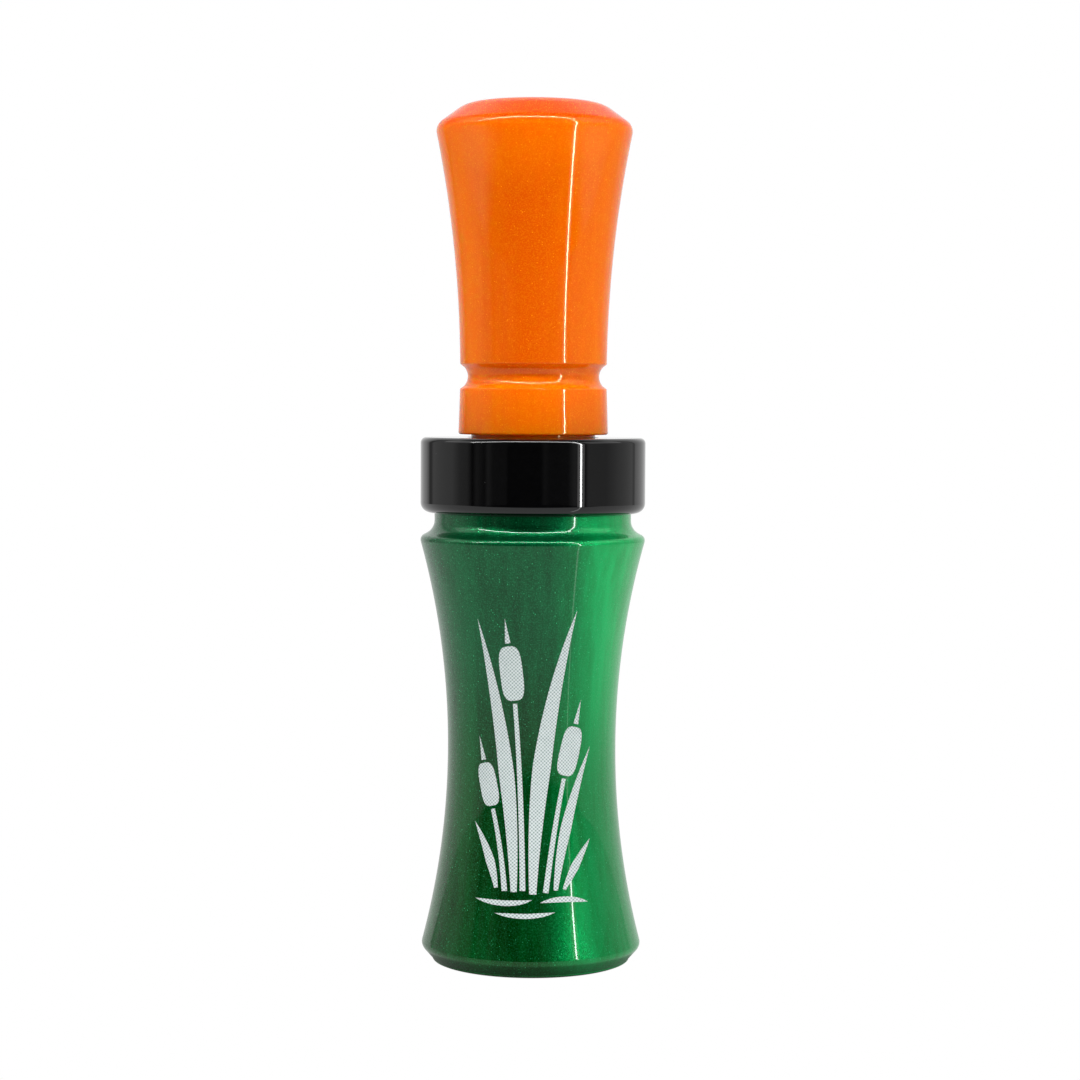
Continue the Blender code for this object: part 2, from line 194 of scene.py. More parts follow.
# Floor, and the light that it sends back
FLOOR_RADIUS = 0.4
FLOOR_SHADOW_RADIUS = 0.0125
FLOOR_GLOW_RADIUS = 0.0145
BOUNCE_RADIUS = 0.9
BOUNCE_FRONT_END = 0.40
BOUNCE_FRONT_FADE = 0.18
BOUNCE_SHADOW_RADIUS = 0.0155
BOUNCE_FULL_RADIUS = 0.0185
BOUNCE_NEAR = 0.2
BOUNCE_BRIGHTNESS = 0.85
BOUNCE_DROP = 1.0 * MM
DISC_SEGMENTS = 96

# Edge strips of a light tent: name, lowest and highest point, width and radiance
STRIP_AZIMUTH = 48.2
STRIP_DISTANCE = 0.245
STRIPS = (
    ("side_strip", 0.036, 0.305, 0.0072, 38.0),
    ("side_glow", 0.036, 0.305, 0.032, 1.3),
    ("side_strip_low", -0.30, 0.036, 0.007, 3.0),
)
TABLE_STRIP_DISTANCE = 0.15
TABLE_STRIP_Z = 0.5 * MM
TABLE_STRIP_SIZE = (0.004, 0.18)
TABLE_STRIP_RADIANCE = 2.5
FRONT_BAR_PLACE = (-0.115, -0.160, 0.345)
FRONT_BAR_TARGET = (-0.115, 0.0, 0.10)
FRONT_BAR_SIZE = (0.67, 0.013)
FRONT_BAR_RADIANCE = 65.0

# Soft panels: name, azimuth, distance, height, width, height of the panel and radiance
SOFT_PANELS = (
    ("key", 85.0, 0.9, 0.75, 0.9, 0.6, 0.9),
    ("fill", -85.0, 0.9, 0.75, 0.9, 0.6, 1.0),
    ("front_fill", -10.0, 1.2, 0.2, 1.0, 0.8, 1.5),
)

# Brightness of the studio at eye level, by azimuth in degrees from the camera's side towards +X
SURROUND = (
    (-180, 1.0), (-140, 0.75), (-134, 0.50), (-131, 0.18), (-127, 0.18), (-122, 0.48), (-105, 0.55),
    (-90, 0.60), (-80, 0.34), (-70, 0.28), (-64, 0.0), (-59, 0.14), (-50, 0.03), (-46, 0.18), (-41, 0.06),
    (-27, 0.05), (-25, 0.0), (8, 0.0), (12, 0.08), (18, 0.03), (36, 0.04), (43, 0.25), (50, 0.2), (53, 0.06),
    (55, 0.1), (58, 0.38), (80, 0.34), (97, 0.50), (121, 0.58), (126, 0.30), (129, 0.70), (180, 1.0),
)
CEILING_FRONT = 0.1
CEILING_BACK = 1.5

# Pearl pigment: slow swirls, fine powder and larger flakes
SWIRL_PUSH = 7.0 * MM
SWIRL_STRETCH = (1.0, 1.0, 0.4)
SWIRL_SCALE = 70.0
POWDER_SCALE = 5200.0
FLAKE_SCALE = 4200.0
FLAKE_RADIUS = 0.36
FLAKE_SHARE = 0.09
TILTED_FLAKE_SCALE = 9000.0
FLAKE_TILT = 0.20

# Green base colours, each as the dull and the bright side of its streaks; painted light makes them brighter
# higher up and on the +X side (lit), darker elsewhere (shaded)
GREEN_LIT_LOW = ((0.0, 0.21, 0.040), (0.0, 0.30, 0.070))
GREEN_LIT_HIGH = ((0.0, 0.38, 0.085), (0.0, 0.52, 0.13))
GREEN_SHADED_LOW = ((0.0, 0.042, 0.001), (0.0, 0.09, 0.010))
GREEN_SHADED_HIGH = ((0.0, 0.060, 0.016), (0.0, 0.105, 0.030))
GREEN_GLINT = (0.05, 0.62, 0.24)
GREEN_POWDER = 0.17
# Painted light: the colours brighten between these heights, and towards +X between these distances
GREEN_LOW_Z = 22.0 * MM
GREEN_HIGH_Z = 52.0 * MM
GREEN_LIT_DIRECTION = (1.0, -0.1, -0.03)
GREEN_SHADED_END = 2.4 * MM
GREEN_LIT_START = 11.0 * MM

# Orange base colours: shaded and lit ones for painted light, a darker, redder one for painted shade on the
# bevel and a bright one for a painted glow on the tenon, with the heights between which they change
ORANGE_SHADED = ((0.64, 0.084, 0.0), (0.67, 0.097, 0.0))
ORANGE_LIT = ((0.74, 0.124, 0.0), (0.77, 0.142, 0.0))
ORANGE_BEVEL_SHADE = (0.60, 0.046, 0.0)
ORANGE_TENON_GLOW = (1.0, 0.16, 0.0)
ORANGE_GLINT = (0.95, 0.42, 0.02)
ORANGE_POWDER = 0.25
# Painted light: the flared end and the collar are paler between these heights
LIT_TOP = (113.0 * MM, 122.0 * MM)
LIT_COLLAR = (88.5 * MM, 87.0 * MM)
# Painted shade: the bevel is darker and redder between these heights
SHADED_BEVEL = (124.0 * MM, 126.0 * MM)
# Painted glow: the tenon below the collar is brighter between these heights
GLOWING_TENON = (79.5 * MM, 79.2 * MM)
# Painted light: paler towards +X and on the flanks
ORANGE_LIT_SIDE = 8.0 * MM
SIDE_LIGHT_SHARE = 0.65
FLANK_LIGHT_START = 0.98
FLANK_LIGHT_END = 0.55
ORANGE_GLOSS_FRONT = 0.5
ORANGE_GLOSS_EDGE = 0.12

# Engraving
ENGRAVING_DULL = (0.22, 0.30, 0.28)
ENGRAVING_BRIGHT = (0.62, 0.67, 0.67)
RASTER_WEAR = 1.6


# ---------------------------------------------------------------- node helpers

def new_material(name):
    """An empty node tree with a Principled shader on its output."""
    material = bpy.data.materials.new(name)
    material.use_nodes = True
    tree = material.node_tree
    return material, tree, tree.nodes["Principled BSDF"]


def set_shader(shader, **values):
    """Set shader sockets by name, with underscores for spaces."""
    for key, value in values.items():
        shader.inputs[key.replace("_", " ")].default_value = value


def object_point(tree, scale=(1.0, 1.0, 1.0)):
    """Object coordinates, stretched by scale."""
    where = tree.nodes.new("ShaderNodeTexCoord")
    mapping = tree.nodes.new("ShaderNodeMapping")
    mapping.inputs["Scale"].default_value = scale
    tree.links.new(where.outputs["Object"], mapping.inputs["Vector"])
    return mapping.outputs["Vector"]


def split_point(tree):
    """The X, Y and Z outputs of the object coordinates."""
    parts = tree.nodes.new("ShaderNodeSeparateXYZ")
    tree.links.new(object_point(tree), parts.inputs["Vector"])
    return parts.outputs


def distance_from_axis(tree):
    """How far a point is from the axis that the call is turned about."""
    length = tree.nodes.new("ShaderNodeVectorMath")
    length.operation = "LENGTH"
    tree.links.new(object_point(tree, (1.0, 1.0, 0.0)), length.inputs[0])
    return length.outputs["Value"]


def noise(tree, point, scale, detail=2.0, roughness=0.5, distortion=0.0):
    """Fractal noise, mostly between 0.3 and 0.7."""
    node = tree.nodes.new("ShaderNodeTexNoise")
    node.inputs["Scale"].default_value = scale
    node.inputs["Detail"].default_value = detail
    node.inputs["Roughness"].default_value = roughness
    node.inputs["Distortion"].default_value = distortion
    tree.links.new(point, node.inputs["Vector"])
    return node.outputs["Fac"]


def math_node(tree, operation, first, second=None, third=None):
    """One arithmetic step on up to three values, each a socket or a number."""
    node = tree.nodes.new("ShaderNodeMath")
    node.operation = operation
    for socket, value in zip(node.inputs, (first, second, third)):
        if value is None:
            continue
        if isinstance(value, (int, float)):
            socket.default_value = value
        else:
            tree.links.new(value, socket)
    return node.outputs["Value"]


def remap(tree, value, low, high, out_low=0.0, out_high=1.0, smooth=False):
    """Take low..high to out_low..out_high, with no value outside them."""
    node = tree.nodes.new("ShaderNodeMapRange")
    node.interpolation_type = "SMOOTHSTEP" if smooth else "LINEAR"
    node.inputs["From Min"].default_value = low
    node.inputs["From Max"].default_value = high
    node.inputs["To Min"].default_value = out_low
    node.inputs["To Max"].default_value = out_high
    tree.links.new(value, node.inputs["Value"])
    return node.outputs["Result"]


def socket_of(sockets, name, kind):
    """The socket with this name that holds this kind of value."""
    return next(socket for socket in sockets if socket.name == name and socket.type == kind)


def mix(tree, factor, first, second):
    """Mix two colours, each a socket or an (r, g, b)."""
    node = tree.nodes.new("ShaderNodeMix")
    node.data_type = "RGBA"
    for name, kind, value in (("Factor", "VALUE", factor), ("A", "RGBA", first), ("B", "RGBA", second)):
        socket = socket_of(node.inputs, name, kind)
        if isinstance(value, (int, float)):
            socket.default_value = value
        elif isinstance(value, tuple):
            socket.default_value = (*value, 1.0)
        else:
            tree.links.new(value, socket)
    return socket_of(node.outputs, "Result", "RGBA")


# ------------------------------------------------------------------- materials

def speck_mask(tree, scale, radius, share):
    """1 inside small round specks, of which only a share of the cells hold one."""
    point = object_point(tree)
    cells = tree.nodes.new("ShaderNodeTexVoronoi")
    cells.inputs["Scale"].default_value = scale
    tree.links.new(point, cells.inputs["Vector"])
    channels = tree.nodes.new("ShaderNodeSeparateColor")
    tree.links.new(cells.outputs["Color"], channels.inputs["Color"])
    inside = remap(tree, cells.outputs["Distance"], radius, radius * 0.5)
    chosen = math_node(tree, "LESS_THAN", channels.outputs["Red"], share)
    bright = math_node(tree, "MULTIPLY", inside, chosen)
    return math_node(tree, "MULTIPLY", bright, channels.outputs["Green"])


def flake_normal(tree, scale, tilt):
    """The surface normal, tilted at random from one small flake to the next."""
    cells = tree.nodes.new("ShaderNodeTexVoronoi")
    cells.inputs["Scale"].default_value = scale
    tree.links.new(object_point(tree), cells.inputs["Vector"])
    centred = tree.nodes.new("ShaderNodeVectorMath")
    centred.operation = "SUBTRACT"
    centred.inputs[1].default_value = (0.5, 0.5, 0.5)
    tree.links.new(cells.outputs["Color"], centred.inputs[0])
    geometry = tree.nodes.new("ShaderNodeNewGeometry")
    tilted = tree.nodes.new("ShaderNodeVectorMath")
    tilted.operation = "MULTIPLY_ADD"
    tilted.inputs[1].default_value = (tilt, tilt, tilt)
    tree.links.new(centred.outputs["Vector"], tilted.inputs[0])
    tree.links.new(geometry.outputs["Normal"], tilted.inputs[2])
    unit = tree.nodes.new("ShaderNodeVectorMath")
    unit.operation = "NORMALIZE"
    tree.links.new(tilted.outputs["Vector"], unit.inputs[0])
    return unit.outputs["Vector"]


def drift(tree, direction, low, high):
    """0 to 1 across the rod in one direction, pushed about by slow swirls."""
    along = tree.nodes.new("ShaderNodeVectorMath")
    along.operation = "DOT_PRODUCT"
    along.inputs[1].default_value = direction
    tree.links.new(object_point(tree), along.inputs[0])
    slow = noise(tree, object_point(tree, SWIRL_STRETCH), SWIRL_SCALE, 2.0, 0.5, 0.4)
    pushed = math_node(tree, "MULTIPLY_ADD", slow, SWIRL_PUSH, along.outputs["Value"])
    return remap(tree, pushed, low + SWIRL_PUSH / 2.0, high + SWIRL_PUSH / 2.0, smooth=True)


def streaks(tree):
    """Streaks of pigment drawn out along the rod."""
    wide = noise(tree, object_point(tree, (1.0, 1.0, 0.14)), 160.0, 3.0, 0.55, 0.5)
    narrow = noise(tree, object_point(tree, (1.0, 1.0, 0.05)), 900.0, 3.0, 0.6)
    both = math_node(tree, "MULTIPLY_ADD", narrow, 0.4, math_node(tree, "MULTIPLY", wide, 0.6))
    return remap(tree, both, 0.36, 0.64, smooth=True)


def sparkle(tree, colour, glint, powder_share):
    """Fine pearl powder with a few larger flakes."""
    powder = noise(tree, object_point(tree), POWDER_SCALE, 1.0, 0.5)
    colour = mix(tree, remap(tree, powder, 0.45, 0.80, 0.0, powder_share), colour, glint)
    return mix(tree, speck_mask(tree, FLAKE_SCALE, FLAKE_RADIUS, FLAKE_SHARE), colour, glint)


def by_height(tree, start, end):
    """0 at one height on the call, 1 at another, and the same beyond each."""
    return remap(tree, split_point(tree)["Z"], start, end, smooth=True)


def largest(tree, *masks):
    """The largest of several masks."""
    result = masks[0]
    for mask in masks[1:]:
        result = math_node(tree, "MAXIMUM", result, mask)
    return result


def flank_light_mask(tree):
    """Painted light: 0 on the front and the back of the rod and 1 towards its two sides."""
    depth = math_node(tree, "ABSOLUTE", split_point(tree)["Y"])
    share = math_node(tree, "DIVIDE", depth, distance_from_axis(tree))
    return remap(tree, share, FLANK_LIGHT_START, FLANK_LIGHT_END, smooth=True)


def green_acrylic():
    """Green pearl under clear gloss: its flakes reflect the light more than they scatter it."""
    material, tree, shader = new_material("green_acrylic")
    set_shader(shader, Metallic=0.8, Roughness=0.40, Specular_IOR_Level=0.0,
               Coat_Weight=0.6, Coat_Roughness=0.012, Coat_IOR=1.49)
    streak = streaks(tree)
    # Painted light: brighter higher up the barrel
    height = by_height(tree, GREEN_LOW_Z, GREEN_HIGH_Z)
    rich = mix(tree, height, mix(tree, streak, *GREEN_LIT_LOW), mix(tree, streak, *GREEN_LIT_HIGH))
    sparse = mix(tree, height, mix(tree, streak, *GREEN_SHADED_LOW), mix(tree, streak, *GREEN_SHADED_HIGH))
    # Painted light: lit colours (rich) on the +X side, shaded colours (sparse) elsewhere, pushed about by
    # swirls
    side = drift(tree, GREEN_LIT_DIRECTION, GREEN_SHADED_END, GREEN_LIT_START)
    colour = sparkle(tree, mix(tree, side, sparse, rich), GREEN_GLINT, GREEN_POWDER)
    tree.links.new(colour, shader.inputs["Base Color"])
    tree.links.new(flake_normal(tree, TILTED_FLAKE_SCALE, FLAKE_TILT), shader.inputs["Normal"])
    return material


def orange_acrylic():
    """Orange pearl: a dense, glowing body with a light gold sparkle.

    Painted light makes it paler on its flanks, on its +X side, at its flared end and on its collar; painted
    shade makes its bevel darker and redder, and a painted glow brightens its tenon.
    """
    material, tree, shader = new_material("orange_acrylic")
    set_shader(shader, Roughness=0.02, IOR=1.49, Specular_Tint=(1.0, 0.88, 0.55, 1.0),
               Subsurface_Weight=0.6, Subsurface_Radius=(1.0, 0.25, 0.02), Subsurface_Scale=5.0 * MM)
    streak = streaks(tree)
    # Painted light: paler on the +X side, the flanks, the flared end and the collar
    side = drift(tree, (1.0, 0.0, 0.0), 0.0, ORANGE_LIT_SIDE)
    painted_light = largest(tree, flank_light_mask(tree), by_height(tree, *LIT_TOP),
                        by_height(tree, *LIT_COLLAR), math_node(tree, "MULTIPLY", side, SIDE_LIGHT_SHARE))
    colour = mix(tree, painted_light, mix(tree, streak, *ORANGE_SHADED), mix(tree, streak, *ORANGE_LIT))
    # Painted shade: a darker, redder colour on the upward bevel
    colour = mix(tree, by_height(tree, *SHADED_BEVEL), colour, ORANGE_BEVEL_SHADE)
    # Painted glow: a bright colour on the tenon in the shaded gap below the collar
    colour = mix(tree, by_height(tree, *GLOWING_TENON), colour, ORANGE_TENON_GLOW)
    colour = sparkle(tree, colour, ORANGE_GLINT, ORANGE_POWDER)
    tree.links.new(colour, shader.inputs["Base Color"])
    edge = tree.nodes.new("ShaderNodeLayerWeight")
    edge.inputs["Blend"].default_value = 0.5
    gloss = remap(tree, edge.outputs["Facing"], 0.15, 0.45, ORANGE_GLOSS_FRONT, ORANGE_GLOSS_EDGE,
                  smooth=True)
    tree.links.new(gloss, shader.inputs["Specular IOR Level"])
    return material


def black_acrylic():
    """Gloss black with a faint haze and sparse pale dust."""
    material, tree, shader = new_material("black_acrylic")
    set_shader(shader, Roughness=0.03, IOR=1.49, Specular_IOR_Level=0.5)
    haze = noise(tree, object_point(tree), 900.0, 3.0, 0.6)
    colour = mix(tree, haze, (0.0008, 0.0008, 0.0009), (0.0022, 0.0022, 0.0024))
    dust = speck_mask(tree, 420.0, 0.05, 0.10)
    tree.links.new(mix(tree, dust, colour, (0.30, 0.29, 0.28)), shader.inputs["Base Color"])
    return material


def moulded_board():
    """Cream-grey moulded plastic with faint flow marks."""
    material, tree, shader = new_material("moulded_board")
    set_shader(shader, Roughness=0.32, IOR=1.55, Subsurface_Weight=0.12, Subsurface_Scale=0.002)
    flow = noise(tree, object_point(tree, (1.0, 1.0, 0.25)), 260.0, 3.0, 0.55, 0.8)
    tree.links.new(mix(tree, flow, (0.50, 0.45, 0.36), (0.60, 0.55, 0.46)), shader.inputs["Base Color"])
    return material


def reed_film():
    """Frosted polyester film, a little see-through."""
    material, tree, shader = new_material("reed_film")
    set_shader(shader, Roughness=0.28, IOR=1.57, Transmission_Weight=0.35)
    frost = noise(tree, object_point(tree, (1.0, 1.0, 0.2)), 3000.0, 3.0, 0.6)
    tree.links.new(mix(tree, frost, (0.62, 0.67, 0.70), (0.74, 0.78, 0.80)), shader.inputs["Base Color"])
    return material


def cork():
    """Cork: pale and dark grains, dark pores and a grainy surface."""
    material, tree, shader = new_material("cork")
    set_shader(shader, Roughness=0.88)
    grains = noise(tree, object_point(tree), 1300.0, 4.0, 0.7)
    colour = mix(tree, remap(tree, grains, 0.35, 0.65), (0.30, 0.15, 0.065), (0.62, 0.40, 0.20))
    colour = mix(tree, speck_mask(tree, 700.0, 0.42, 0.16), colour, (0.10, 0.045, 0.02))
    tree.links.new(colour, shader.inputs["Base Color"])
    bump = tree.nodes.new("ShaderNodeBump")
    bump.inputs["Strength"].default_value = 0.5
    bump.inputs["Distance"].default_value = 0.1 * MM
    tree.links.new(grains, bump.inputs["Height"])
    tree.links.new(bump.outputs["Normal"], shader.inputs["Normal"])
    return material


def rubber():
    """Black rubber with a faint bloom."""
    material, tree, shader = new_material("rubber")
    set_shader(shader, Roughness=0.48)
    bloom = noise(tree, object_point(tree), 1500.0, 3.0, 0.6)
    colour = mix(tree, bloom, (0.012, 0.012, 0.012), (0.035, 0.035, 0.034))
    tree.links.new(colour, shader.inputs["Base Color"])
    return material


def engraved_white():
    """Frosted laser engraving: pale dots where two sets of fine diagonal lines cross."""
    material, tree, shader = new_material("engraved_white")
    set_shader(shader, Roughness=0.62, Specular_IOR_Level=0.25)
    place = split_point(tree)
    front = math_node(tree, "MULTIPLY", place["Y"], -1.0)
    angle = math_node(tree, "ARCTAN2", place["X"], front)
    around = math_node(tree, "MULTIPLY", angle, WAIST_RADIUS)
    waves = []
    for operation in ("ADD", "SUBTRACT"):
        diagonal = math_node(tree, operation, around, place["Z"])
        phase = math_node(tree, "MULTIPLY", diagonal, 2.0 * math.pi / RASTER_PITCH)
        waves.append(math_node(tree, "SINE", phase))
    worn = noise(tree, object_point(tree), 2200.0, 2.0, 0.6)
    dots = math_node(tree, "MULTIPLY_ADD", worn, RASTER_WEAR, math_node(tree, "ADD", *waves))
    colour = mix(tree, remap(tree, dots, -0.8, 1.6), ENGRAVING_DULL, ENGRAVING_BRIGHT)
    tree.links.new(colour, shader.inputs["Base Color"])
    return material


def pale_floor():
    """White paper: matt under the call, and glowing into the background all round it."""
    material, tree, shader = new_material("pale_floor")
    set_shader(shader, Roughness=0.9, Specular_IOR_Level=0.0, Emission_Color=(1.0, 1.0, 1.0, 1.0))
    glow = remap(tree, distance_from_axis(tree), FLOOR_SHADOW_RADIUS, FLOOR_GLOW_RADIUS, smooth=True)
    tree.links.new(mix(tree, glow, (0.95, 0.95, 0.95), (0.0, 0.0, 0.0)), shader.inputs["Base Color"])
    tree.links.new(glow, shader.inputs["Emission Strength"])
    return material


def bounce_glow():
    """Light off the table: dim under the call, bright round it, and fading towards the camera."""
    material, tree, shader = new_material("bounce_glow")
    set_shader(shader, Base_Color=(0.0, 0.0, 0.0, 1.0), Specular_IOR_Level=0.0,
               Emission_Color=(1.0, 1.0, 1.0, 1.0))
    near = remap(tree, distance_from_axis(tree), BOUNCE_SHADOW_RADIUS, BOUNCE_FULL_RADIUS,
                 BOUNCE_NEAR, BOUNCE_BRIGHTNESS, smooth=True)
    front = remap(tree, split_point(tree)["Y"], -BOUNCE_FRONT_END, -BOUNCE_FRONT_FADE, smooth=True)
    tree.links.new(math_node(tree, "MULTIPLY", near, front), shader.inputs["Emission Strength"])
    return material


# --------------------------------------------------------------- turned pieces

def arc_radius_at(z, waist_radius, waist_z, arc_radius):
    """Radius of a hollow turned side, an arc about a centre outside the call."""
    centre = waist_radius + arc_radius
    return centre - math.sqrt(arc_radius ** 2 - (z - waist_z) ** 2)


def barrel_side(z):
    """Radius of the barrel's hourglass side at a height."""
    return arc_radius_at(z, WAIST_RADIUS, WAIST_Z, SIDE_ARC_RADIUS)


def insert_side(z):
    """Radius of the insert's flared side at a height."""
    return arc_radius_at(z, INSERT_WAIST_RADIUS, INSERT_WAIST_Z, INSERT_ARC_RADIUS)


def between(start, end, steps):
    """The steps - 1 evenly spaced values strictly between start and end."""
    return [start + (end - start) * i / steps for i in range(1, steps)]


def round_corner(before, corner, after, radius):
    """Points of the arc that rounds one corner of an outline."""
    before, corner, after = Vector(before), Vector(corner), Vector(after)
    to_before = (before - corner).normalized()
    to_after = (after - corner).normalized()
    opening = to_before.angle(to_after)
    turn = math.pi - opening
    centre = corner + (to_before + to_after).normalized() * (radius / math.sin(opening / 2.0))
    start = corner + to_before * (radius * math.tan(turn / 2.0)) - centre
    side = 1.0 if to_before.x * to_after.y - to_before.y * to_after.x < 0.0 else -1.0
    first = math.atan2(start.y, start.x)
    steps = max(3, math.ceil(turn / ROUND_STEP))
    angles = [first + side * turn * i / steps for i in range(steps + 1)]
    return [(centre.x + radius * math.cos(a), centre.y + radius * math.sin(a)) for a in angles]


def rounded_outline(corners):
    """Closed outline through (x, z, round) corners, with each round cut in."""
    outline = []
    for i, (x, z, radius) in enumerate(corners):
        if radius == 0.0:
            outline.append((x, z))
        else:
            after = corners[(i + 1) % len(corners)]
            outline.extend(round_corner(corners[i - 1][:2], (x, z), after[:2], radius))
    return outline


def finish_piece(name, mesh, material, body, slot, *nodes):
    """Make the object, give it its material, and tie it to the frame; body is None for a piece left untied.
    """
    piece = bpy.data.objects.new(name, mesh)
    bpy.context.scene.collection.objects.link(piece)
    mesh.materials.clear()
    mesh.materials.append(material)
    mesh.shade_smooth()
    mesh.set_sharp_from_angle(angle=SHARP_ANGLE)
    if body is not None:
        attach(piece, body)
    if nodes:
        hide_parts(*nodes)
    return piece


def turned_mesh(name, corners):
    """Turn a closed outline, which runs down its outer side, about the Z axis."""
    outline = rounded_outline(corners)
    shape = bmesh.new()
    rings = []
    for i in range(SEGMENTS):
        angle = 2.0 * math.pi * i / SEGMENTS
        rings.append([shape.verts.new((x * math.cos(angle), x * math.sin(angle), z)) for x, z in outline])
    for i, ring in enumerate(rings):
        following = rings[(i + 1) % SEGMENTS]
        for j in range(len(outline)):
            k = (j + 1) % len(outline)
            shape.faces.new((ring[j], ring[k], following[k], following[j]))
    bmesh.ops.recalc_face_normals(shape, faces=shape.faces)
    mesh = bpy.data.meshes.new(name)
    shape.to_mesh(mesh)
    shape.free()
    return mesh


def barrel_corners():
    """Outline of the barrel: down its outside, and up through the mouth, bore and socket."""
    rim_radius = barrel_side(RIM_Z)
    cove_z = RIM_Z + (rim_radius - NECK_RADIUS) * math.tan(SHOULDER_SLOPE)
    flare_radius = barrel_side(FLARE_Z)
    lip_z = FLARE_Z - (flare_radius - LIP_RADIUS) * math.tan(LIP_BEVEL_SLOPE)
    shoulder_z = BAND_LOW.z - SHOULDER_GAP
    corners = [
        (SOCKET_RADIUS, BARREL_HIGH.z, HIDDEN_ROUND),
        (SPIGOT_RADIUS, BARREL_HIGH.z, HIDDEN_ROUND),
        (SPIGOT_RADIUS, shoulder_z, 0.0),
        (NECK_RADIUS, shoulder_z, SHOULDER_ROUND),
        (NECK_RADIUS, cove_z, COVE_ROUND),
        (rim_radius, RIM_Z, RIM_ROUND),
    ]
    corners += [(barrel_side(z), z, 0.0) for z in between(RIM_Z, FLARE_Z, SIDE_STEPS)]
    corners += [
        (flare_radius, FLARE_Z, FLARE_ROUND),
        (LIP_RADIUS, lip_z, LIP_STEP_ROUND),
        (LIP_RADIUS, LIP_EDGE_Z, LIP_EDGE_ROUND),
        (FOOT_RADIUS, 0.0, FOOT_ROUND),
        (BORE_RADIUS, 0.0, MOUTH_ROUND),
        (BORE_RADIUS, SOCKET_FLOOR_Z, HIDDEN_ROUND),
        (SOCKET_RADIUS, SOCKET_FLOOR_Z, HIDDEN_ROUND),
    ]
    return corners


def band_corners():
    """Outline of the band, a cap over the barrel's upper end."""
    inner_radius = SPIGOT_RADIUS + GLUE_GAP
    lip_z = BAND_HIGH.z - BAND_LIP_THICKNESS
    return [
        (SOCKET_RADIUS, BAND_HIGH.z, HIDDEN_ROUND),
        (BAND_RADIUS, BAND_HIGH.z, BAND_TOP_ROUND),
        (BAND_RADIUS, BAND_LOW.z, BAND_LOW_ROUND),
        (inner_radius, BAND_LOW.z, FINE_ROUND),
        (inner_radius, lip_z, 0.0),
        (SOCKET_RADIUS, lip_z, FINE_ROUND),
    ]


def groove_corners():
    """The round-bottomed groove between the insert's flare and its collar."""
    opening = math.acos((GROOVE_CENTRE_RADIUS - INSERT_WAIST_RADIUS) / GROOVE_ARC_RADIUS)
    corners = []
    for i in range(GROOVE_STEPS + 1):
        angle = opening - 2.0 * opening * i / GROOVE_STEPS
        x = GROOVE_CENTRE_RADIUS - GROOVE_ARC_RADIUS * math.cos(angle)
        z = GROOVE_Z + GROOVE_ARC_RADIUS * math.sin(angle)
        corners.append((x, z, 0.0))
    (upper_x, upper_z, _), (lower_x, lower_z, _) = corners[0], corners[-1]
    floor = corners[GROOVE_ROUND_POINTS:-GROOVE_ROUND_POINTS]
    return [(upper_x, upper_z, GROOVE_EDGE_ROUND), *floor, (lower_x, lower_z, GROOVE_EDGE_ROUND)]


def seal_slot_corners(seal):
    """The square slot in the tenon round one O-ring."""
    low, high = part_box(seal)
    middle = (low.z + high.z) / 2.0
    top = middle + SEAL_SLOT_WIDTH / 2.0
    bottom = middle - SEAL_SLOT_WIDTH / 2.0
    return [
        (TENON_RADIUS, top, SLOT_ROUND),
        (SEAL_SLOT_RADIUS, top, SLOT_ROUND),
        (SEAL_SLOT_RADIUS, bottom, SLOT_ROUND),
        (TENON_RADIUS, bottom, SLOT_ROUND),
    ]


def insert_corners():
    """Outline of the insert: down its outside and its tenon, and up through its bores."""
    groove = groove_corners()
    corners = [
        (EXHAUST_RADIUS, INSERT_HIGH.z, EXHAUST_ROUND),
        (TOP_RIM_RADIUS, INSERT_HIGH.z, TOP_RIM_ROUND),
        (insert_side(BEVEL_Z), BEVEL_Z, BEVEL_ROUND),
    ]
    heights = between(BEVEL_Z, groove[0][1], SIDE_STEPS)
    corners += [(insert_side(z), z, 0.0) for z in heights if z < BEVEL_Z - BEVEL_CLEARANCE]
    corners += groove
    corners += [
        (insert_side(COLLAR_Z), COLLAR_Z, COLLAR_ROUND),
        (TENON_RADIUS, COLLAR_Z, FINE_ROUND),
        *seal_slot_corners("o_ring_rear"),
        *seal_slot_corners("o_ring_front"),
        (TENON_RADIUS, INSERT_LOW.z, TENON_ROUND),
        (SHANK_BORE_RADIUS, INSERT_LOW.z, HIDDEN_ROUND),
        (SHANK_BORE_RADIUS, SHANK_FLOOR_Z, 0.0),
        (THROAT_RADIUS, SHANK_FLOOR_Z, HIDDEN_ROUND),
    ]
    return corners


def make_turned_pieces(green, orange, black):
    """The three pieces turned from acrylic rod."""
    finish_piece("barrel_shell", turned_mesh("barrel_shell", barrel_corners()), green,
                 "barrel", "green_acrylic", "barrel")
    finish_piece("band_ring", turned_mesh("band_ring", band_corners()), black,
                 "barrel", "black_acrylic", "band")
    finish_piece("insert_stopper", turned_mesh("insert_stopper", insert_corners()), orange,
                 "insert", "orange_acrylic", "insert")


# ----------------------------------------------------------------- thin pieces

def thin_solid(name, outer, inner):
    """Closed sheet between two grids of points of the same size."""
    shape = bmesh.new()
    layers = [[[shape.verts.new(point) for point in row] for row in grid] for grid in (outer, inner)]
    rows, columns = len(outer), len(outer[0])
    for layer in layers:
        for i in range(rows - 1):
            for j in range(columns - 1):
                shape.faces.new((layer[i][j], layer[i][j + 1], layer[i + 1][j + 1], layer[i + 1][j]))
    rim = [(0, j) for j in range(columns)] + [(i, columns - 1) for i in range(1, rows)]
    rim += [(rows - 1, j) for j in range(columns - 2, -1, -1)] + [(i, 0) for i in range(rows - 2, 0, -1)]
    top, under = layers
    for (i, j), (k, m) in zip(rim, rim[1:] + rim[:1]):
        shape.faces.new((top[i][j], top[k][m], under[k][m], under[i][j]))
    bmesh.ops.recalc_face_normals(shape, faces=shape.faces)
    mesh = bpy.data.meshes.new(name)
    shape.to_mesh(mesh)
    shape.free()
    return mesh


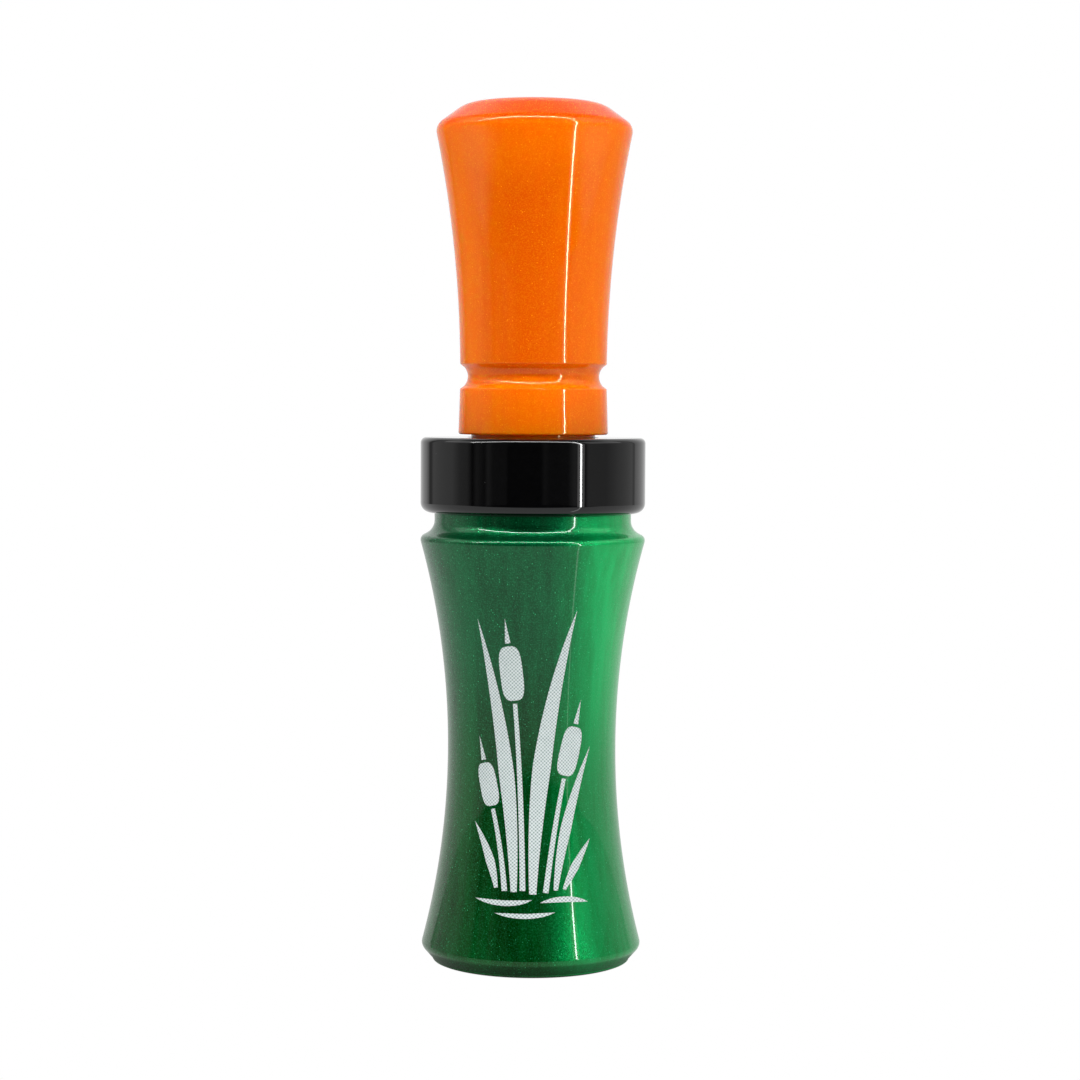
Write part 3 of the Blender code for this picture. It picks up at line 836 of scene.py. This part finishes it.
def make_reed(name, material):
    """Film reed with an elliptical tip."""
    low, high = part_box(name)
    rows = []
    for i in range(REED_ROWS + 1):
        z = low.z + (high.z - low.z) * (i / REED_ROWS) ** REED_ROW_CROWDING
        reach = max(0.0, 1.0 - (z - low.z) / REED_TIP_DEPTH)
        half = max(high.x * math.sqrt(1.0 - reach ** 2), REED_TIP_HALF)
        rows.append([(half * (2.0 * j / REED_CELLS - 1.0), z) for j in range(REED_CELLS + 1)])
    front = [[(x, low.y, z) for x, z in row] for row in rows]
    back = [[(x, high.y, z) for x, z in row] for row in rows]
    mesh = thin_solid(name + "_film", front, back)
    reed = finish_piece(name + "_film", mesh, material, None, "reed_film", name)
    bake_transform(reed)


def on_barrel(u, z, lift):
    """Point on the barrel's side: u is measured round it from the front."""
    radius = barrel_side(z)
    angle = u / radius
    return ((radius + lift) * math.sin(angle), -(radius + lift) * math.cos(angle), z)


def along_curve(points, share):
    """Point and direction on the curve that three guide points bend."""
    start, bend, end = (Vector(point) for point in points)
    place = start * (1.0 - share) ** 2 + bend * 2.0 * share * (1.0 - share) + end * share ** 2
    course = (bend - start) * (1.0 - share) + (end - bend) * share
    return place, course.normalized()


def leaf_width(share):
    """A blade: narrow at its foot, widest below its middle, and pointed."""
    foot = min(1.0, 0.35 + 1.6 * share)
    return foot * (1.0 - share ** 2.6)


def head_width(share):
    """A cattail's head: nearly as wide at its ends as in its middle."""
    return (1.0 - abs(2.0 * share - 1.0) ** 3.5) ** (1.0 / 3.5)


def stem_width(share):
    """A stem, a little thinner at its top."""
    return 1.0 - 0.25 * share


def spike_width(share):
    """A spike that runs out to a point."""
    return 1.0 - share


def ripple_width(share):
    """A ripple, pointed at both ends."""
    return 1.0 - abs(2.0 * share - 1.0) ** 2.5


def stroke_mesh(name, points, half_width, width):
    """One engraved stroke, in millimetres round and up the barrel, wrapped on it."""
    grids = []
    for lift in (ENGRAVING_HEIGHT, -ENGRAVING_DEPTH):
        grid = []
        for i in range(STROKE_STEPS + 1):
            share = 0.5 - 0.5 * math.cos(math.pi * i / STROKE_STEPS)
            place, course = along_curve(points, share)
            across = Vector((course.y, -course.x)) * max(half_width * width(share), STROKE_TIP)
            row = [place + across * (2.0 * j / STROKE_CELLS - 1.0) for j in range(STROKE_CELLS + 1)]
            grid.append([on_barrel(p.x * MM, p.y * MM, lift) for p in row])
        grids.append(grid)
    return thin_solid(name, *grids)


def cattail(foot, bend, head_low, head_high, half_width):
    """The strokes of one cattail: its stem, its head and the spike on top."""
    low, high = Vector(head_low), Vector(head_high)
    course = (high - low).normalized()
    stem_end = low - course * HEAD_GAP
    spike_start = high + course * HEAD_GAP
    spike_end = spike_start + course * SPIKE_LENGTH
    return [
        ((foot, bend, tuple(stem_end)), STEM_HALF_WIDTH, stem_width),
        ((head_low, tuple((low + high) / 2.0), head_high), half_width, head_width),
        ((tuple(spike_start), tuple((spike_start + spike_end) / 2.0), tuple(spike_end)),
         SPIKE_HALF_WIDTH, spike_width),
    ]


def engraving_strokes():
    """Cattails and marsh grass over a few ripples, each stroke clear of the next."""
    strokes = cattail((-1.2, 12.9), (-1.4, 28.0), (-2.5, 40.6), (-3.5, 48.6), 1.7)
    strokes += cattail((2.2, 12.6), (3.4, 22.0), (5.0, 29.5), (6.7, 36.6), 1.6)
    strokes += cattail((-3.9, 12.8), (-4.4, 19.0), (-5.9, 25.0), (-7.3, 31.2), 1.45)
    strokes += [
        (((0.3, 12.4), (0.6, 36.0), (6.8, 53.8)), 1.5, leaf_width),
        (((-2.5, 12.7), (-2.9, 34.0), (-8.4, 52.5)), 1.3, leaf_width),
        (((3.7, 12.9), (4.9, 24.0), (9.4, 33.5)), 0.95, leaf_width),
        (((-5.2, 13.2), (-6.0, 18.0), (-8.9, 22.5)), 0.8, leaf_width),
        (((5.0, 13.0), (7.0, 17.0), (9.4, 20.0)), 0.75, leaf_width),
        (((-8.6, 11.5), (-3.5, 10.6), (0.2, 11.6)), 0.4, ripple_width),
        (((1.4, 11.2), (5.0, 12.1), (8.9, 11.0)), 0.4, ripple_width),
        (((-5.4, 9.6), (-0.5, 8.9), (3.6, 9.8)), 0.36, ripple_width),
    ]
    return strokes


def make_engraving(material):
    """One thin piece for each stroke, laid on the barrel."""
    for i, (points, half_width, width) in enumerate(engraving_strokes()):
        name = "engraving_%02d" % (i + 1)
        finish_piece(name, stroke_mesh(name, points, half_width, width), material, "barrel", "green_acrylic")


# ------------------------------------------------------- inside of the insert

def make_seal(name, material):
    """O-ring with the fine ridge of its mould round the inside and the outside."""
    low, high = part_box(name)
    middle = (low.z + high.z) / 2.0
    corners = []
    for i in range(SEAL_CORD_POINTS):
        angle = -2.0 * math.pi * i / SEAL_CORD_POINTS
        on_ridge = i % (SEAL_CORD_POINTS // 2) == 0
        radius = SEAL_CORD_RADIUS if on_ridge else SEAL_CORD_RADIUS - SEAL_FLASH
        corners.append((SEAL_RING_RADIUS + radius * math.cos(angle), middle + radius * math.sin(angle), 0.0))
    mesh = turned_mesh(name + "_cord", corners)
    finish_piece(name + "_cord", mesh, material, "seals", "rubber", name)


def prism(name, outline, start, end, stand):
    """An outline in two directions, drawn out along the third that stand gives."""
    shape = bmesh.new()
    ends = [[shape.verts.new(stand @ Vector((x, y, t))) for x, y in outline] for t in (start, end)]
    shape.faces.new(ends[0])
    shape.faces.new(ends[1])
    for i in range(len(outline)):
        k = (i + 1) % len(outline)
        shape.faces.new((ends[0][i], ends[0][k], ends[1][k], ends[1][i]))
    bmesh.ops.recalc_face_normals(shape, faces=shape.faces)
    mesh = bpy.data.meshes.new(name)
    shape.to_mesh(mesh)
    shape.free()
    solid = bpy.data.objects.new(name, mesh)
    bpy.context.scene.collection.objects.link(solid)
    return solid


def circle(radius, y=0.0):
    """Points round a circle about the call's axis, or a distance y behind it."""
    angles = [2.0 * math.pi * i / CIRCLE_POINTS for i in range(CIRCLE_POINTS)]
    return [(radius * math.cos(a), y + radius * math.sin(a)) for a in angles]


ALONG_Z = Matrix(((1.0, 0.0, 0.0), (0.0, 1.0, 0.0), (0.0, 0.0, 1.0)))
ALONG_Y = Matrix(((1.0, 0.0, 0.0), (0.0, 0.0, 1.0), (0.0, 1.0, 0.0)))
ALONG_X = Matrix(((0.0, 0.0, 1.0), (1.0, 0.0, 0.0), (0.0, 1.0, 0.0)))


def board_outline():
    """The board seen from the front: straight sides and a rounded tip."""
    wide = BOARD_RADIUS + CUT_MARGIN
    top = BLOCK_TOP_Z + CUT_MARGIN
    points = [(-wide, top), (wide, top)]
    for i in range(TIP_STEPS + 1):
        angle = math.pi * i / TIP_STEPS
        points.append((wide * math.cos(angle), BOARD_LOW.z + BOARD_TIP_DEPTH * (1.0 - math.sin(angle))))
    return points


def ramp_outline():
    """All that is in front of the board's face, seen from the side."""
    front = -BOARD_RADIUS - CUT_MARGIN
    points = [(front, BOARD_LOW.z - CUT_MARGIN), (front, BLOCK_Z)]
    for i in range(RAMP_STEPS + 1):
        share = i / RAMP_STEPS
        reach = (BLOCK_Z - BOARD_LOW.z) * share
        points.append((FACE_Y + reach * math.tan(RAMP_SLOPE) + RAMP_EXTRA_FALL * share ** 3, BLOCK_Z - reach))
    points.append((points[-1][0], BOARD_LOW.z - CUT_MARGIN))
    return points


def make_tone_board(material):
    """Half-round board with its sound channel, wedge block and hollow shank, all with soft edges."""
    wide = BOARD_RADIUS + CUT_MARGIN
    slot = [(-SLOT_HALF_WIDTH, FACE_Y - SLOT_HEIGHT), (SLOT_HALF_WIDTH, FACE_Y - SLOT_HEIGHT),
            (SLOT_HALF_WIDTH, FACE_Y), (-SLOT_HALF_WIDTH, FACE_Y)]
    shank = circle(SHANK_RADIUS)
    channel = circle(CHANNEL_RADIUS, CHANNEL_Y)
    hole = circle(SHANK_HOLE_RADIUS)
    steps = [
        ("INTERSECT", prism("tip_form", board_outline(), -wide, wide, ALONG_Y)),
        ("DIFFERENCE", prism("ramp_cutter", ramp_outline(), -wide, wide, ALONG_X)),
        ("UNION", prism("shank_form", shank, BLOCK_TOP_Z - SHANK_ROOT_DEPTH, BOARD_HIGH.z, ALONG_Z)),
        ("DIFFERENCE", prism("slot_cutter", slot, BLOCK_Z - CUT_MARGIN, SLOT_END_Z, ALONG_Z)),
        ("DIFFERENCE", prism("channel_cutter", channel, CHANNEL_TIP_Z, CHANNEL_END_Z, ALONG_Z)),
        ("DIFFERENCE", prism("hole_cutter", hole, SHANK_HOLE_Z, BOARD_HIGH.z + CUT_MARGIN, ALONG_Z)),
    ]
    board = prism("board_form", circle(BOARD_RADIUS), BOARD_LOW.z, BLOCK_TOP_Z, ALONG_Z)
    for operation, cutter in steps:
        step = board.modifiers.new(cutter.name, "BOOLEAN")
        step.operation = operation
        step.solver = "EXACT"
        step.object = cutter
    bevel = board.modifiers.new("soft edges", "BEVEL")
    bevel.width = BOARD_EDGE
    bevel.segments = 2
    bevel.angle_limit = SHARP_ANGLE
    ready = board.evaluated_get(bpy.context.evaluated_depsgraph_get())
    mesh = bpy.data.meshes.new_from_object(ready)
    for form in (board, *(cutter for _, cutter in steps)):
        bpy.data.objects.remove(form)
    mesh.name = "tone_board_moulding"
    finish_piece("tone_board_moulding", mesh, material, "insert", "moulded_board", "tone_board")


def make_seals(material):
    """Both O-rings on the tenon."""
    for name in ("o_ring_front", "o_ring_rear"):
        make_seal(name, material)


def make_reeds(material):
    """Both reeds under the wedge."""
    for name in ("reed_lower", "reed_upper"):
        make_reed(name, material)


def make_wedge(material):
    """Cork block with worn edges and small pits, thinner at the end that goes in first."""
    low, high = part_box("wedge")
    shape = bmesh.new()
    bmesh.ops.create_cube(shape, size=1.0)
    bmesh.ops.scale(shape, vec=high - low, verts=shape.verts)
    middle = (high + low) / 2.0
    bmesh.ops.translate(shape, vec=middle, verts=shape.verts)
    for vertex in shape.verts:
        if vertex.co.y < middle.y and vertex.co.z > middle.z:
            vertex.co.y += WEDGE_TAPER
    bmesh.ops.bevel(shape, geom=list(shape.edges), offset=WEDGE_EDGE, segments=3, profile=0.5, affect="EDGES")
    long_edges = [edge for edge in shape.edges if edge.calc_length() > MM]
    bmesh.ops.subdivide_edges(shape, edges=long_edges, cuts=WEDGE_CUTS, use_grid_fill=True)
    shape.normal_update()
    for vertex in shape.verts:
        pit = max(0.0, solid_noise.noise(vertex.co * CORK_PIT_SCALE)) * CORK_PIT_DEPTH
        vertex.co -= vertex.normal * pit
    bmesh.ops.recalc_face_normals(shape, faces=shape.faces)
    mesh = bpy.data.meshes.new("wedge_cork")
    shape.to_mesh(mesh)
    shape.free()
    finish_piece("wedge_cork", mesh, material, "insert", "cork", "wedge")


# ---------------------------------------------------------- stage and lighting

def make_disc(name, radius, material):
    """A flat disc where the call stands."""
    shape = bmesh.new()
    bmesh.ops.create_circle(shape, cap_ends=True, segments=DISC_SEGMENTS, radius=radius)
    mesh = bpy.data.meshes.new(name)
    shape.to_mesh(mesh)
    shape.free()
    mesh.materials.append(material)
    disc = bpy.data.objects.new(name, mesh)
    disc.location.z = BARREL_LOW.z
    bpy.context.scene.collection.objects.link(disc)
    return disc


def make_floor():
    """The floor that the camera sees, and the bounce card that lights the call from below."""
    floor = make_disc("floor", FLOOR_RADIUS, pale_floor())
    floor.visible_diffuse = False
    floor.visible_glossy = False
    bounce = make_disc("bounce_card", BOUNCE_RADIUS, bounce_glow())
    bounce.location.z -= BOUNCE_DROP
    bounce.visible_camera = False
    bounce.visible_shadow = False


def make_world():
    """White to the camera; round the object, dark in front with pale sides, back and ceiling."""
    world = bpy.data.worlds.new("studio")
    bpy.context.scene.world = world
    world.use_nodes = True
    tree = world.node_tree
    background = tree.nodes["Background"]
    where = tree.nodes.new("ShaderNodeTexCoord")
    parts = tree.nodes.new("ShaderNodeSeparateXYZ")
    tree.links.new(where.outputs["Generated"], parts.inputs["Vector"])
    front = math_node(tree, "MULTIPLY", parts.outputs["Y"], -1.0)
    azimuth = math_node(tree, "ARCTAN2", parts.outputs["X"], front)
    around = remap(tree, azimuth, -math.pi, math.pi)
    ramp = tree.nodes.new("ShaderNodeValToRGB")
    stops = ramp.color_ramp.elements
    stops.remove(stops[-1])
    for i, (degrees, level) in enumerate(SURROUND):
        place = (degrees + 180.0) / 360.0
        stop = stops[0] if i == 0 else stops.new(place)
        stop.position = place
        stop.color = (level, level, level, 1.0)
    tree.links.new(around, ramp.inputs["Fac"])
    overhead = remap(tree, parts.outputs["Z"], 0.50, 0.80, smooth=True)
    ceiling = remap(tree, parts.outputs["Y"], 0.25, 0.65, CEILING_FRONT, CEILING_BACK)
    light = mix(tree, overhead, ramp.outputs["Color"], ceiling)
    path = tree.nodes.new("ShaderNodeLightPath")
    light = mix(tree, path.outputs["Is Camera Ray"], light, (1.0, 1.0, 1.0))
    tree.links.new(light, background.inputs["Color"])


def make_panel(name, place, width, height, brightness):
    """A rectangular light that faces the call's axis; brightness is its radiance."""
    lamp = bpy.data.lights.new(name, "AREA")
    lamp.shape = "RECTANGLE"
    lamp.size = width
    lamp.size_y = height
    lamp.energy = brightness * math.pi * width * height
    panel = bpy.data.objects.new(name, lamp)
    panel.location = place
    panel.visible_camera = False
    bpy.context.scene.collection.objects.link(panel)
    return panel


def towards(panel, target):
    """Turn a panel to face a point."""
    outward = panel.location - Vector(target)
    panel.rotation_euler = outward.to_track_quat("Z", "Y").to_euler()


def around_axis(azimuth, distance, height):
    """A place at an azimuth in degrees, from the camera's side towards +X."""
    angle = math.radians(azimuth)
    return Vector((math.sin(angle) * distance, -math.cos(angle) * distance, height))


def make_lights():
    """The bright edge strips of a small light tent, and soft panels beyond them."""
    for name, low, high, width, brightness in STRIPS:
        place = around_axis(STRIP_AZIMUTH, STRIP_DISTANCE, (low + high) / 2.0)
        strip = make_panel(name, place, width, high - low, brightness)
        towards(strip, (0.0, 0.0, place.z))
    table_place = around_axis(STRIP_AZIMUTH, TABLE_STRIP_DISTANCE, TABLE_STRIP_Z)
    table_strip = make_panel("table_strip", table_place, *TABLE_STRIP_SIZE, TABLE_STRIP_RADIANCE)
    table_strip.rotation_euler = (math.pi, 0.0, math.radians(STRIP_AZIMUTH))
    bar = make_panel("front_bar", FRONT_BAR_PLACE, *FRONT_BAR_SIZE, FRONT_BAR_RADIANCE)
    towards(bar, FRONT_BAR_TARGET)
    middle = Vector((0.0, 0.0, (BARREL_LOW.z + INSERT_HIGH.z) / 2.0))
    for name, azimuth, distance, height, width, panel_height, brightness in SOFT_PANELS:
        panel = make_panel(name, around_axis(azimuth, distance, height), width, panel_height, brightness)
        towards(panel, middle)
        panel.visible_glossy = name != "front_fill"


def make_camera():
    """The camera in front of the call, a little above it and rolled by a fraction of a degree."""
    data = bpy.data.cameras.new("camera")
    data.lens = CAMERA_LENS
    data.sensor_width = SENSOR_WIDTH
    camera = bpy.data.objects.new("camera", data)
    bpy.context.scene.collection.objects.link(camera)
    camera.location = (CAMERA_ASIDE, -CAMERA_DISTANCE, CAMERA_HEIGHT)
    turn = Euler((math.pi / 2.0 - CAMERA_PITCH, 0.0, 0.0)).to_matrix()
    camera.rotation_euler = (turn @ Matrix.Rotation(CAMERA_ROLL, 3, "Z")).to_euler()
    bpy.context.scene.camera = camera


bpy.context.scene.view_settings.view_transform = "Standard"
make_camera()
make_turned_pieces(green_acrylic(), orange_acrylic(), black_acrylic())
make_engraving(engraved_white())
make_seals(rubber())
make_tone_board(moulded_board())
make_reeds(reed_film())
make_wedge(cork())
make_floor()
make_world()
make_lights()
